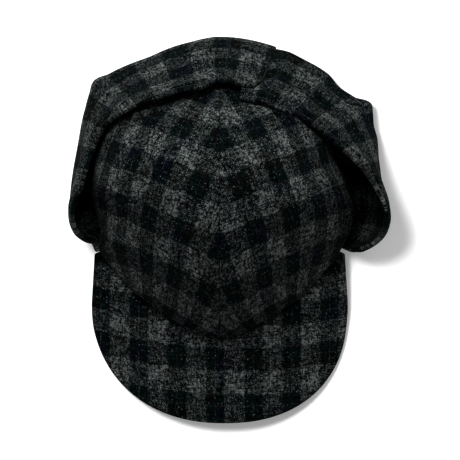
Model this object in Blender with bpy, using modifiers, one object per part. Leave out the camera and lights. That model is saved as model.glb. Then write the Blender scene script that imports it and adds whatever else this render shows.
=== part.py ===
"""Wool plaid cap with a stiff peak and two earflaps turned up round the sides and back.

The cap rests on the floor: the fold of the flaps touches it at the back, and the two front
corners of the peak touch it in front. The peak points along -Y, +Z is up.
Angles round the crown are in degrees, 0 at the front and 180 at the back.
"""
import math

import bmesh
import bpy

# Crown, in metres
HALF_LENGTH = 0.1015
HALF_WIDTH = 0.0965
CROWN_HEIGHT = 0.104
CROWN_WALL = 0.0025
SEAM_GAP = 0.0006
PINCH_FADE = 4

# Peak, in metres; the angle is where its ends meet the hem
PEAK_HALF_WIDTH = 0.092
PEAK_REACH = 0.0655
PEAK_BOARD = 0.0045
PEAK_FALL = 0.010
PEAK_ARCH = 0.0245
PEAK_END = 63.5
PEAK_TIP_WIDTH = 0.0035
PEAK_SEAM = 0.0016
PEAK_OVAL = 0.8
PEAK_SQUARENESS = 2.25
PEAK_LEAN = 0.052

# Earflaps, in metres; the angles are where they start and end, each on its own side
FLAP_HEIGHT = 0.068
FLAP_WALL = 0.003
FOLD_RADIUS = 0.0074
FOLD_LIMIT = 0.45
FOLD_ROOM = 0.8
LEFT_START = 68.0
RIGHT_START = 65.0
RIGHT_END = 168.0
STRAP_LAP = 21.5
STRAP_ROUNDING = 0.013
STRAP_STEP = 0.0085
STRAP_STEP_START = 168.0
STRAP_STEP_RUN = 10.0
STRAP_TURN_IN = 0.001
LAP_RUN = 9.0

# Clearances, in metres
SEAT_GAP = 0.0003
HEM_GAP = 0.0012

# Cloth colours, linear
CHARCOAL = (0.052, 0.055, 0.055)
PEAK_GREY = (0.06, 0.063, 0.063)
FLAP_GREY = (0.046, 0.048, 0.048)
WOOL_ROUGHNESS = 0.95

# Mesh fineness
CROWN_FRONT_STEPS = 9
CROWN_BACK_STEPS = 24
CROWN_ROWS = 19
PEAK_STEPS = 32
PEAK_ROWS = 8
FOLD_ROWS = 5
WALL_ROWS = 10
FLAP_STEP = 3.4
STRAP_STEPS = 5
OUTLINE_STEPS = 24
MERIDIAN_STEPS = 60
MERGE = 0.00001
UPRIGHT_LIMIT = 0.0001

# One row for each meridian of the crown. reach: hem radius as a share of the oval of the
# two half sizes. droop: how far the top slopes, from 0, a round dome, to 1, a parabola.
# fullness: 2 for an oval shoulder, more for a squarer one. left and right: 1 where that
# half's wall stands upright at the hem. The pinches: how far that half's hem pulls in under
# the flaps, as a share of the hem radius.
CROWN_SECTIONS = (
    # angle, reach, droop, fullness, left, right, left pinch, right pinch
    (0, 0.995, 0.55, 2.00, 0.970, 0.970, 0.000, 0.000),
    (30, 0.955, 0.52, 2.00, 0.970, 0.970, 0.000, 0.000),
    (45, 0.952, 0.46, 2.00, 0.975, 0.975, 0.000, 0.000),
    (63.5, 0.993, 0.32, 2.20, 0.985, 0.985, 0.000, 0.000),
    (69, 0.998, 0.27, 2.40, 0.965, 0.990, 0.052, -0.006),
    (75, 1.000, 0.20, 2.65, 0.955, 0.990, 0.072, -0.018),
    (82, 1.000, 0.14, 2.90, 0.965, 0.990, 0.054, -0.020),
    (90, 1.000, 0.10, 3.05, 0.980, 0.985, 0.028, 0.014),
    (98, 1.005, 0.10, 3.10, 0.985, 0.970, 0.030, 0.052),
    (106, 1.011, 0.12, 3.05, 0.988, 0.960, 0.034, 0.080),
    (115, 1.024, 0.18, 2.80, 0.990, 0.965, 0.036, 0.060),
    (125, 1.033, 0.34, 2.35, 0.993, 0.980, 0.020, 0.020),
    (132, 1.035, 0.46, 2.15, 1.000, 1.000, 0.006, 0.006),
    (150, 0.985, 0.80, 2.00, 1.000, 1.000, 0.000, 0.000),
    (165, 0.975, 0.93, 2.00, 1.000, 1.000, 0.000, 0.000),
    (180, 0.975, 0.93, 2.00, 1.000, 1.000, 0.000, 0.000),
)

# How far the hem stays lifted off the floor behind the peak, as a share of its height
# where the peak ends.
HEM_LIFT = (
    # angle, lift
    (63.5, 1.00),
    (75, 0.80),
    (90, 0.55),
    (110, 0.26),
    (130, 0.08),
    (150, 0.00),
    (180, 0.00),
)

# One row for each section of a flap, all radii as shares of the hem radius there: at the
# fold, a third of the way up, two thirds up and at the free edge. height is a share of
# FLAP_HEIGHT, from the floor.
LEFT_FLAP = (
    # angle, fold, waist, shoulder, edge, height
    (68, 1.045, 1.046, 1.046, 1.042, 0.52),
    (70.5, 1.066, 1.072, 1.076, 1.072, 0.62),
    (74, 1.082, 1.096, 1.104, 1.100, 0.74),
    (79, 1.088, 1.112, 1.120, 1.110, 0.83),
    (84, 1.090, 1.110, 1.112, 1.090, 0.84),
    (92, 1.092, 1.096, 1.075, 1.025, 0.79),
    (100, 1.097, 1.088, 1.052, 0.992, 0.75),
    (110, 1.113, 1.085, 1.038, 0.968, 0.74),
    (120, 1.148, 1.093, 1.018, 0.938, 0.79),
    (127, 1.200, 1.102, 0.997, 0.892, 0.86),
    (130.8, 1.262, 1.102, 0.975, 0.862, 0.89),
    (137, 1.188, 1.080, 0.945, 0.826, 0.925),
    (146, 1.180, 1.065, 0.918, 0.800, 0.960),
    (155, 1.150, 1.048, 0.898, 0.786, 0.980),
    (167, 1.150, 1.043, 0.888, 0.758, 1.010),
    (180, 1.180, 1.052, 0.888, 0.722, 1.040),
)

RIGHT_FLAP = (
    # angle, fold, waist, shoulder, edge, height
    (65, 1.072, 1.082, 1.082, 1.077, 0.50),
    (67.5, 1.102, 1.137, 1.142, 1.136, 0.60),
    (71.5, 1.132, 1.190, 1.215, 1.212, 0.70),
    (76, 1.150, 1.222, 1.258, 1.250, 0.80),
    (80, 1.165, 1.236, 1.272, 1.256, 0.86),
    (85, 1.170, 1.229, 1.256, 1.228, 0.90),
    (90, 1.172, 1.213, 1.224, 1.172, 0.91),
    (96, 1.180, 1.198, 1.176, 1.096, 0.91),
    (102, 1.198, 1.198, 1.138, 1.022, 0.91),
    (108, 1.228, 1.190, 1.095, 0.945, 0.92),
    (113, 1.258, 1.160, 1.045, 0.892, 0.935),
    (117, 1.348, 1.145, 1.010, 0.862, 0.945),
    (120.2, 1.470, 1.125, 0.985, 0.840, 0.950),
    (125, 1.246, 1.085, 0.945, 0.802, 0.960),
    (132.5, 1.162, 1.052, 0.905, 0.757, 0.965),
    (138, 1.185, 1.058, 0.898, 0.737, 0.970),
    (148, 1.194, 1.062, 0.893, 0.720, 0.980),
    (160, 1.187, 1.058, 0.890, 0.712, 1.005),
    (170, 1.182, 1.055, 0.888, 0.716, 1.025),
    (180, 1.180, 1.052, 0.888, 0.722, 1.040),
)


def smooth_row(table, angle, free_ends=False):
    """The table's other columns at this angle, on a smooth curve through its rows.

    The curve is level at the table's two ends, or runs straight out of them if they are free.
    """
    last = len(table) - 1
    low = 0
    while low < last - 1 and angle > table[low + 1][0]:
        low += 1
    before = table[max(low - 1, 0)]
    start = table[low]
    end = table[low + 1]
    after = table[min(low + 2, last)]
    span = end[0] - start[0]
    t = min(max((angle - start[0]) / span, 0.0), 1.0)
    row = []
    for column in range(1, len(start)):
        slope = (end[column] - start[column]) / span
        slopes = []
        for one, other in ((before, start), (end, after)):
            if one is other:
                slopes.append(slope if free_ends else 0.0)
                continue
            outer = (other[column] - one[column]) / (other[0] - one[0])
            product = outer * slope
            slopes.append(0.0 if product <= 0 else 2.0 * product / (outer + slope))
        rise = t * t * (3.0 - 2.0 * t)
        bend_in = t * (1.0 - t) ** 2 * slopes[0] * span
        bend_out = -t * t * (1.0 - t) * slopes[1] * span
        row.append(start[column] + rise * (end[column] - start[column]) + bend_in + bend_out)
    return row


def hem_radius(angle):
    """Radius of the crown's hem, seen from above, without its pinches."""
    turn = math.radians(angle)
    oval = 1.0 / math.hypot(math.cos(turn) / HALF_LENGTH, math.sin(turn) / HALF_WIDTH)
    return oval * smooth_row(CROWN_SECTIONS, angle)[0]


def crown_section(side, angle):
    """One half's droop, fullness, upright and pinch, the last in metres."""
    _, droop, fullness, left, right, left_pinch, right_pinch = smooth_row(CROWN_SECTIONS, angle)
    upright, pinch = (left, left_pinch) if side < 0 else (right, right_pinch)
    return droop, fullness, upright, pinch * hem_radius(angle)


def sewn_radius(side, angle):
    """Where a flap's inner edge lies against the hem."""
    return hem_radius(angle) - crown_section(side, angle)[3] + SEAT_GAP


def place(side, angle, radius, height):
    """A point round the crown; side is -1 on the left and 1 on the right."""
    turn = math.radians(angle)
    return (side * radius * math.sin(turn), -radius * math.cos(turn), height)


def resample(path, count):
    """A path of (radius, height) points as count points at even steps along it."""
    lengths = [0.0]
    for one, other in zip(path, path[1:]):
        lengths.append(lengths[-1] + math.dist(one, other))
    points = []
    piece = 0
    for step in range(count):
        target = lengths[-1] * step / (count - 1)
        while piece < len(path) - 2 and lengths[piece + 1] < target:
            piece += 1
        stretch = lengths[piece + 1] - lengths[piece]
        t = (target - lengths[piece]) / stretch if stretch > 0 else 0.0
        points.append(tuple(a + (b - a) * t for a, b in zip(path[piece], path[piece + 1])))
    return points


# Peak: its underside is an arch that falls towards the front.

def peak_outline():
    """The peak's edge from one end to the other: straight sides, then an oval front.

    The front's corners are fuller than an oval's, and it leans a little to the right.
    """
    front = hem_radius(0) + PEAK_REACH
    middle = front - PEAK_REACH * (0.5 + PEAK_OVAL)
    depth = front - middle
    end = hem_radius(PEAK_END) + PEAK_TIP_WIDTH
    corner = place(1, PEAK_END, end, 0.0)
    half = []
    for step in range(OUTLINE_STEPS + 1):
        turn = math.radians(90.0 * step / OUTLINE_STEPS)
        across = max(math.sin(turn), 0.0) ** (2.0 / PEAK_SQUARENESS)
        forward = max(math.cos(turn), 0.0) ** (2.0 / PEAK_SQUARENESS)
        half.append((PEAK_HALF_WIDTH * across, -middle - depth * forward))
    half.append(((PEAK_HALF_WIDTH + corner[0]) / 2.0, (corner[1] - middle) / 2.0))
    half.append((corner[0], corner[1]))
    whole = [(-x, y) for x, y in reversed(half[1:])] + half
    back = hem_radius(PEAK_END)
    return [(x + PEAK_LEAN * max(-y - back, 0.0), y) for x, y in whole]


def peak_slope_height(x, y):
    """Height of the underside before it is set down on the floor."""
    forward = (-y - hem_radius(0)) / PEAK_REACH
    return -PEAK_FALL * forward - PEAK_ARCH * (x / PEAK_HALF_WIDTH) ** 2


PEAK_LIFT = -min(peak_slope_height(x, y) for x, y in peak_outline())


def peak_underside(x, y):
    return PEAK_LIFT + peak_slope_height(x, y)


def peak_top(x, y):
    """The board's thickness stands square to its slope."""
    along = PEAK_FALL / PEAK_REACH
    across = 2.0 * PEAK_ARCH * x / PEAK_HALF_WIDTH ** 2
    return peak_underside(x, y) + PEAK_BOARD * math.sqrt(1.0 + along * along + across * across)


# Crown: each meridian runs from the hem to the top of the dome.

def dome_drop(share, droop, fullness):
    """Drop below the top at this share of the radius, 1 where the wall is upright."""
    round_part = 1.0 - max(1.0 - share ** fullness, 0.0) ** (1.0 / fullness)
    return droop * share * share + (1.0 - droop) * round_part


def wall_tilt(angle):
    """How far the hem's inner edge hangs below its outer edge, where the wall leans."""
    reach = smooth_row(CROWN_SECTIONS, angle)[0]
    droop, fullness, upright, _ = crown_section(1, angle)
    rim = max(1.0 - upright ** fullness, UPRIGHT_LIMIT) ** (1.0 - 1.0 / fullness)
    slope = 2.0 * droop * upright ** 2 + (1.0 - droop) * upright ** fullness / rim
    slope /= dome_drop(upright, droop, fullness)
    slope *= (CROWN_HEIGHT - PEAK_LIFT) / (reach * HALF_LENGTH)
    return CROWN_WALL / math.hypot(1.0, slope)


def hem_height(angle):
    """The hem stands on the peak in front and comes down to the floor behind it."""
    at = min(angle, PEAK_END)
    inner = hem_radius(at) - CROWN_WALL
    x, y, _ = place(1, at, inner, 0.0)
    on_peak = peak_top(x, y) + SEAT_GAP + wall_tilt(at)
    if angle <= PEAK_END:
        return on_peak
    return HEM_GAP + (on_peak - HEM_GAP) * smooth_row(HEM_LIFT, angle)[0]


def crown_meridian(side, angle):
    droop, fullness, upright, pinch = crown_section(side, angle)
    hem = hem_height(angle)
    full = hem_radius(angle) / upright
    scale = (CROWN_HEIGHT - hem) / dome_drop(upright, droop, fullness)
    start = math.asin(upright)
    path = []
    for step in range(MERIDIAN_STEPS + 1):
        share = math.sin(start * (1.0 - step / MERIDIAN_STEPS))
        radius = full * share - pinch * (share / upright) ** PINCH_FADE
        path.append((radius, CROWN_HEIGHT - scale * dome_drop(share, droop, fullness)))
    return resample(path, CROWN_ROWS + 1)


def crown_half(side):
    """Point of one crown half at a share of the way round and a share of the way up."""
    angles = [PEAK_END * step / CROWN_FRONT_STEPS for step in range(CROWN_FRONT_STEPS)]
    back = 180.0 - PEAK_END
    angles += [PEAK_END + back * step / CROWN_BACK_STEPS for step in range(CROWN_BACK_STEPS + 1)]
    meridians = [crown_meridian(side, angle) for angle in angles]

    def point(column, row):
        radius, height = meridians[column][row]
        x, y, z = place(side, angles[column], radius, height)
        return (side * max(abs(x), SEAM_GAP / 2.0), y, z)

    return point


# Earflaps: each section is a J, out from the hem, round the fold and up to the free edge.

def band_row(side, angle):
    """A flap's section: radii at the fold, waist, shoulder and edge, and the edge's height."""
    table = LEFT_FLAP if side < 0 else RIGHT_FLAP
    shares = smooth_row(table, angle)
    hem = hem_radius(angle)
    return [share * hem for share in shares[:4]] + [shares[4] * FLAP_HEIGHT]


def wall_path(row, floor, bottom, top):
    """The outer face between two heights, as (radius, height), seen from the side."""
    fold, waist, shoulder, edge, height = row
    knots = ((0.0, fold), (1.0 / 3.0, waist), (2.0 / 3.0, shoulder), (1.0, edge))
    path = []
    for step in range(WALL_ROWS + 1):
        level = bottom + (top - bottom) * step / WALL_ROWS
        share = (level - floor) / (height - floor)
        path.append((smooth_row(knots, share, free_ends=True)[0], level))
    return path


def sunk(path, depth):
    """The same path a depth further in, measured square to the wall."""
    moved = []
    for step, (radius, level) in enumerate(path):
        before = path[max(step - 1, 0)]
        after = path[min(step + 1, len(path) - 1)]
        run = math.dist(before, after)
        across = (after[1] - before[1]) / run
        up = (before[0] - after[0]) / run
        moved.append((radius - depth * across, level - depth * up))
    return moved


def folded_path(row, floor, sewn, depth=0.0, free=0.0, drop=0.0):
    """A section from the hem out along the floor, round the fold and up the wall.

    The fold is an arc that meets both without a kink. depth sinks the section under its
    neighbour, free draws its inner edge out towards the fold and drop lowers its top.
    """
    radius = min(FOLD_RADIUS, (row[4] - floor) * FOLD_LIMIT, (row[0] - sewn) * FOLD_ROOM)
    foot, above = wall_path(row, floor, floor + radius, row[4])[:2]
    lean = math.atan2(foot[0] - above[0], above[1] - foot[1])
    wall = wall_path(row, floor, floor + radius * (1.0 + math.sin(lean)), row[4] - drop)
    centre = wall[0][0] - radius * math.cos(lean)
    bend = radius - depth
    path = [(sewn + free * (centre - STRAP_TURN_IN - sewn), floor + depth)]
    for step in range(FOLD_ROWS):
        turn = (math.pi / 2.0 + lean) * step / FOLD_ROWS
        path.append((centre + bend * math.sin(turn), floor + radius - bend * math.cos(turn)))
    return path + sunk(wall, depth)


def spread(start, end, step):
    """Angles from start to end, evenly spaced at about this step."""
    count = round((end - start) / step)
    return [start + (end - start) * n / count for n in range(count + 1)]


def flap_floor(angle):
    return max(hem_height(angle) - HEM_GAP, 0.0)


def right_flap():
    """Sections of the right flap, nested in the left one where the strap lies over it."""
    sections = []
    sunk_from = 180.0 - STRAP_LAP - FLAP_STEP
    for angle in spread(RIGHT_START, RIGHT_END, FLAP_STEP):
        under = min(max((angle - sunk_from + LAP_RUN) / LAP_RUN, 0.0), 1.0)
        depth = under * under * (3.0 - 2.0 * under) * (FLAP_WALL + SEAT_GAP)
        sewn = sewn_radius(1, angle)
        path = folded_path(band_row(1, angle), flap_floor(angle), sewn, depth=depth)
        sections.append((1, angle, path))
    return sections


def left_flap():
    """Sections of the left flap, which runs on past the back as a strap over the right one."""
    sections = []
    strap_end = 180.0 + STRAP_LAP
    lap_start = 360.0 - RIGHT_END
    rounding = math.degrees(STRAP_ROUNDING / hem_radius(180))
    rounds = spread(LEFT_START, strap_end - rounding, FLAP_STEP)
    rounds += spread(strap_end - rounding, strap_end, rounding / STRAP_STEPS)[1:]
    for turn in rounds:
        side = -1 if turn <= 180.0 else 1
        angle = min(turn, 360.0 - turn)
        row = band_row(side, angle)
        round_off = max(1.0 - (strap_end - turn) / rounding, 0.0)
        drop = STRAP_ROUNDING * (1.0 - math.sqrt(1.0 - round_off * round_off))
        narrowed = min(max((turn - STRAP_STEP_START) / STRAP_STEP_RUN, 0.0), 1.0)
        drop += STRAP_STEP * narrowed * narrowed * (3.0 - 2.0 * narrowed)
        free = max((turn - lap_start) / (strap_end - lap_start), 0.0)
        sewn = sewn_radius(side, angle)
        path = folded_path(row, flap_floor(angle), sewn, free=free, drop=drop)
        sections.append((side, angle, path))
    return sections


def flap_point(sections):
    def point(column, row):
        side, angle, path = sections[column]
        radius, height = path[row]
        return place(side, angle, radius, height)

    return point


def peak_point():
    """The underside between the crown's inner face and the peak's edge."""
    edge = resample(peak_outline(), PEAK_STEPS + 1)

    def point(column, row):
        share = column / PEAK_STEPS
        angle = PEAK_END * (2.0 * share - 1.0)
        inner = place(1, abs(angle), hem_radius(abs(angle)) - CROWN_WALL - PEAK_SEAM, 0.0)
        x = math.copysign(inner[0], angle)
        t = row / PEAK_ROWS
        x += (edge[column][0] - x) * t
        y = inner[1] + (edge[column][1] - inner[1]) * t
        return (x, y, peak_underside(x, y))

    return point


def wool(name, colour):
    material = bpy.data.materials.new(name)
    material.use_nodes = True
    shader = material.node_tree.nodes["Principled BSDF"]
    shader.inputs["Base Color"].default_value = (*colour, 1.0)
    shader.inputs["Roughness"].default_value = WOOL_ROUGHNESS
    shader.inputs["Metallic"].default_value = 0.0
    material.diffuse_color = (*colour, 1.0)
    return material


def sheet(name, point, cells, flip, colour):
    """A grid of cells laid on one face of the piece."""
    columns, rows = cells
    grid = bmesh.new()
    bmesh.ops.create_grid(grid, x_segments=columns, y_segments=rows, size=0.5)
    for vertex in grid.verts:
        column = round((vertex.co.x + 0.5) * columns)
        row = round((vertex.co.y + 0.5) * rows)
        vertex.co = point(column, row)
    bmesh.ops.remove_doubles(grid, verts=grid.verts, dist=MERGE)
    if flip:
        bmesh.ops.reverse_faces(grid, faces=grid.faces)
    mesh = bpy.data.meshes.new(name)
    grid.to_mesh(mesh)
    grid.free()
    mesh.shade_smooth()
    mesh.materials.append(wool(name + "_wool", colour))
    return bpy.data.objects.new(name, mesh)


def thicken(piece, wall, outward=False):
    """Gives a sheet its wall, inwards from its outer face or outwards from its inner one."""
    solid = piece.modifiers.new("wall", "SOLIDIFY")
    solid.thickness = wall
    solid.offset = 1.0 if outward else -1.0
    solid.use_even_offset = True
    solid.use_quality_normals = True


def centre_on_floor(collection):
    """Puts the origin on the floor under the middle of the whole cap."""
    bpy.context.view_layer.update()
    shapes = bpy.context.evaluated_depsgraph_get()
    corners = [corner for piece in collection.objects for corner in piece.evaluated_get(shapes).bound_box]
    middle_x = (min(c[0] for c in corners) + max(c[0] for c in corners)) / 2.0
    middle_y = (min(c[1] for c in corners) + max(c[1] for c in corners)) / 2.0
    lowest = min(c[2] for c in corners)
    for piece in collection.objects:
        piece.location = (-middle_x, -middle_y, -lowest)


def crown(collection):
    columns = CROWN_FRONT_STEPS + CROWN_BACK_STEPS
    for name, side in (("crown_left", -1), ("crown_right", 1)):
        half = sheet(name, crown_half(side), (columns, CROWN_ROWS), side < 0, CHARCOAL)
        thicken(half, CROWN_WALL)
        collection.objects.link(half)


def peak(collection):
    board = sheet("peak", peak_point(), (PEAK_STEPS, PEAK_ROWS), True, PEAK_GREY)
    thicken(board, PEAK_BOARD, outward=True)
    collection.objects.link(board)


def earflaps(collection):
    for name, sections in (("earflap_left", left_flap()), ("earflap_right", right_flap())):
        cells = (len(sections) - 1, FOLD_ROWS + WALL_ROWS + 1)
        flap = sheet(name, flap_point(sections), cells, sections[0][0] < 0, FLAP_GREY)
        thicken(flap, FLAP_WALL)
        collection.objects.link(flap)


def build():
    for old in list(bpy.data.objects):
        bpy.data.objects.remove(old, do_unlink=True)
    collection = bpy.data.collections.new("earflap_cap")
    bpy.context.scene.collection.children.link(collection)
    crown(collection)
    peak(collection)
    earflaps(collection)
    centre_on_floor(collection)


build()
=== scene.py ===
import math

import bpy
import numpy as np
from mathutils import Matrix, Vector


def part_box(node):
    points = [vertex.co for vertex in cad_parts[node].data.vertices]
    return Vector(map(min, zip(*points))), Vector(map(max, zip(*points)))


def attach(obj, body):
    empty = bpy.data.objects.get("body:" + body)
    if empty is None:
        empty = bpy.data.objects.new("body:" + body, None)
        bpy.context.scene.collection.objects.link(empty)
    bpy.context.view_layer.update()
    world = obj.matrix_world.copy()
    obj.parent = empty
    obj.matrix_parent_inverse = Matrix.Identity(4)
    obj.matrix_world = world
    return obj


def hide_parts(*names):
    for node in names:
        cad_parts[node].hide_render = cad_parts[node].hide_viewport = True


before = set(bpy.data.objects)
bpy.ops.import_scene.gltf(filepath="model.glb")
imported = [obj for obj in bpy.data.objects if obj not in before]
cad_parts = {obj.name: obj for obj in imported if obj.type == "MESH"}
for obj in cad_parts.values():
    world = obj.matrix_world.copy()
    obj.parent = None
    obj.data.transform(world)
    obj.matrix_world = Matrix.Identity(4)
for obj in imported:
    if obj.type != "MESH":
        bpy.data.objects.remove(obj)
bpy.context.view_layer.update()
scene = bpy.context.scene
print("frame loaded")

mm = 0.001

# The cap's own sizes, as in the frame: metres, degrees round the crown, 0 at the front.
cap = {
    "halfLength": 0.1015,
    "halfWidth": 0.0965,
    "height": 0.104,
    "crownWall": 0.0025,
    "seatGap": 0.0003,
    "hemGap": 0.0012,
    "frontHem": 0.1010,       # the frame's; the cloth bulges a little further over the peak
}

# reach: hem radius as a share of the oval. droop: how far the top slopes, from a round dome
# to a parabola. fullness: 2 for an oval shoulder, more for a squarer one. left and right: 1
# where that half's wall stands upright at the hem. The pinches: how far that half's hem pulls
# in under the flaps, as a share of the hem radius.
crownSections = (
    # angle, reach, droop, fullness, left, right, left pinch, right pinch
    (0, 1.027, 0.55, 2.0, 0.97, 0.97, 0, 0),
    (30, 0.955, 0.52, 2.0, 0.97, 0.97, 0, 0),
    (45, 0.952, 0.46, 2.0, 0.975, 0.975, 0, 0),
    (63.5, 0.993, 0.32, 2.2, 0.985, 0.985, 0, 0),
    (69, 0.998, 0.27, 2.4, 0.965, 0.99, 0.052, -0.006),
    (75, 1.0, 0.2, 2.65, 0.955, 0.99, 0.072, -0.018),
    (82, 1.0, 0.14, 2.9, 0.965, 0.99, 0.054, -0.02),
    (90, 1.0, 0.1, 3.05, 0.98, 0.985, 0.028, 0.014),
    (98, 1.005, 0.1, 3.1, 0.985, 0.97, 0.03, 0.052),
    (106, 1.011, 0.12, 3.05, 0.988, 0.96, 0.034, 0.08),
    (115, 1.024, 0.18, 2.8, 0.99, 0.965, 0.036, 0.06),
    (125, 1.033, 0.34, 2.35, 0.993, 0.98, 0.02, 0.02),
    (132, 1.035, 0.46, 2.15, 1.0, 1.0, 0.006, 0.006),
    (150, 0.985, 0.8, 2.0, 1.0, 1.0, 0, 0),
    (165, 0.975, 0.93, 2.0, 1.0, 1.0, 0, 0),
    (180, 0.975, 0.93, 2.0, 1.0, 1.0, 0, 0),
)
# angle, and how much of its height on the peak the hem keeps there
hemLift = ((63.5, 1.0), (75, 0.80), (90, 0.55), (110, 0.26), (130, 0.08), (150, 0.0), (180, 0.0))


def eased(share):
    # From 0 to 1 with a soft start and end.
    return share * share * (3.0 - 2.0 * share)


def limited(share):
    return min(max(share, 0.0), 1.0)


def unit(vectors, least=1e-15):
    return vectors / np.maximum(np.linalg.norm(vectors, axis=-1, keepdims=True), least)


def smoothRow(table, angle, freeEnds=False):
    # The table's other columns at this angle, on a curve that never overshoots its rows.
    last = len(table) - 1
    low = 0
    while low < last - 1 and angle > table[low + 1][0]:
        low += 1
    before, start, end, after = table[max(low - 1, 0)], table[low], table[low + 1], table[min(low + 2, last)]
    span = end[0] - start[0]
    t = limited((angle - start[0]) / span)
    row = []
    for column in range(1, len(start)):
        slope = (end[column] - start[column]) / span
        slopes = []
        for one, other in ((before, start), (end, after)):
            if one is other:
                slopes.append(slope if freeEnds else 0.0)
                continue
            outer = (other[column] - one[column]) / (other[0] - one[0])
            product = outer * slope
            slopes.append(0.0 if product <= 0 else 2.0 * product / (outer + slope))
        bendIn = t * (1.0 - t) ** 2 * slopes[0] * span
        bendOut = -t * t * (1.0 - t) * slopes[1] * span
        row.append(start[column] + eased(t) * (end[column] - start[column]) + bendIn + bendOut)
    return row


def hemRadius(angle):
    turn = math.radians(angle)
    oval = 1.0 / math.hypot(math.cos(turn) / cap["halfLength"], math.sin(turn) / cap["halfWidth"])
    return oval * smoothRow(crownSections, angle)[0]


def crownSection(side, angle):
    # One half's droop, fullness, upright and pinch, the last in metres.
    _, droop, fullness, left, right, leftPinch, rightPinch = smoothRow(crownSections, angle)
    upright, pinch = (left, leftPinch) if side < 0 else (right, rightPinch)
    return droop, fullness, upright, pinch * hemRadius(angle)


def place(side, angle, radius, height):
    turn = math.radians(angle)
    return (side * radius * math.sin(turn), -radius * math.cos(turn), height)


# The crown's middle, from the frame's seam and front hem.
leftLow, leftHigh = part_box("crown_left")
rightLow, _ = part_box("crown_right")
centre = np.array(((leftHigh.x + rightLow.x) / 2.0, leftLow.y + cap["frontHem"], 0.0))


def shares(count, ends, finest):
    # Shares from 0 to 1: a count of even steps, and ever finer ones at both ends.
    near = [finest * k * (k + 1) / 2.0 for k in range(ends)]
    inner = np.linspace(near[-1], 1.0 - near[-1], count)
    return np.concatenate((near[:-1], inner, [1.0 - n for n in reversed(near[:-1])]))


def along(path, distances):
    # Points at these distances along a polyline of (radius, height) and any further columns.
    path = np.asarray(path, float)
    steps = np.hypot(*np.diff(path[:, :2], axis=0).T)
    at = np.concatenate(([0.0], np.cumsum(steps)))
    return np.stack([np.interp(distances, at, path[:, k]) for k in range(path.shape[1])], axis=1)


def lengthOf(path):
    return float(np.hypot(*np.diff(np.asarray(path, float)[:, :2], axis=0).T).sum())


def ripple(points, wave, seed, waves=7, shortest=0.7, longest=1.5, height=3.0):
    # Unevenness from a few sine waves, between about -1 and 1.
    random = np.random.default_rng(seed)
    total = np.zeros(points.shape[:-1])
    for _ in range(waves):
        direction = random.normal(size=3)
        direction /= np.linalg.norm(direction)
        length = wave * random.uniform(shortest, longest)
        total += np.sin(points @ direction * (2.0 * math.pi / length) + random.uniform(0, 2 * math.pi))
    return total / height


def gridCells(numbers):
    # The four corners of every cell of a grid of numbers.
    corners = (numbers[:-1, :-1], numbers[1:, :-1], numbers[1:, 1:], numbers[:-1, 1:])
    return np.stack(corners, axis=-1).reshape(-1, 4)


# metres: nearer points are one spot, a thinner wall is closed, a nearer spot lies in the seam
closeness = {"merge": 2e-6, "thin": 1e-6, "onSeam": 1e-7}


def addObject(name, data):
    thing = bpy.data.objects.new(name, data)
    scene.collection.objects.link(thing)
    return thing


def clothShell(name, points, uv, edge, wall, rounding, outward, materials, innerFrom=None,
               sink=0.5, seamed=False):
    # A closed cloth body on a grid of points of its outer face, or of its middle if it doesn't
    # sink. edge is each point's distance from the rim, where the wall rounds off over rounding.
    # A seamed body stays flush with the plane of its seam.
    rows, columns = points.shape[:2]
    flat = points.reshape(-1, 3)
    keys = np.round(flat / closeness["merge"]).astype(np.int64)
    _, first, index = np.unique(keys, axis=0, return_index=True, return_inverse=True)
    index = index.reshape(-1)
    spots = flat[first]
    rim = np.full(len(spots), np.inf)
    np.minimum.at(rim, index, edge.reshape(-1))
    uvs = uv.reshape(-1, 2)
    corners = gridCells(index.reshape(rows, columns))
    sources = gridCells(np.arange(rows * columns).reshape(rows, columns))
    if not outward:
        corners, sources = corners[:, ::-1], sources[:, ::-1]
    a, b, c, d = (spots[corners[:, k]] for k in range(4))
    facing = np.cross(c - a, d - b)
    normal = np.zeros_like(spots)
    for k in range(4):
        np.add.at(normal, corners[:, k], facing)
    if seamed:
        normal[np.abs(spots[:, 0]) < closeness["onSeam"], 0] = 0.0
    normal = unit(normal)
    part = np.clip(rim / rounding, 0.0, 1.0)
    thick = wall * np.sqrt(1.0 - (1.0 - part) ** 2)
    middle = spots - normal * (wall * sink)
    outer = middle + normal * (thick / 2.0)[:, None]
    inner = middle - normal * (thick / 2.0)[:, None]
    count = len(spots)
    same = np.arange(count)
    partner = np.where(thick < closeness["thin"], same, same + count).tolist()
    verts = np.concatenate((outer, inner))
    faces, faceUvs, slots = [], [], []
    for quad, source in zip(corners.tolist(), sources.tolist()):
        kept = [k for k in range(4) if quad[k] != quad[k - 1]]
        if len(set(quad)) < 3:
            continue
        # in a corner of the rim the quad is cut from the one spot that is inside it
        inside = [k for k in kept if partner[quad[k]] != quad[k]]
        cuts = [kept]
        if len(kept) == 4 and len(inside) == 1:
            cuts = [[(inside[0] + step) % 4 for step in steps] for steps in ((0, 1, 2), (0, 2, 3))]
        # past innerFrom the inner face takes the second material: the crown's black lining, or the flaps'
        # darkened wool as painted shade
        liningOrShade = innerFrom is not None and min(rim[quad[k]] for k in kept) > innerFrom
        for cut in cuts:
            for ring, owner, slot in ((cut, range(count), 0), (cut[::-1], partner, int(liningOrShade))):
                faces.append([owner[quad[k]] for k in ring])
                faceUvs.extend(uvs[source[k]] for k in ring)
                slots.append(slot)
    mesh = bpy.data.meshes.new(name)
    used = sorted({spot for face in faces for spot in face})
    number = {spot: k for k, spot in enumerate(used)}
    faces = [[number[spot] for spot in face] for face in faces]
    mesh.from_pydata((verts[used] + centre).tolist(), [], faces)
    layer = mesh.uv_layers.new(name="cloth")
    layer.data.foreach_set("uv", np.array(faceUvs, np.float32).ravel())
    for material in materials:
        mesh.materials.append(material)
    mesh.polygons.foreach_set("material_index", slots)
    mesh.update()
    mesh.shade_smooth()
    return addObject(name, mesh)


# Materials

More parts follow.
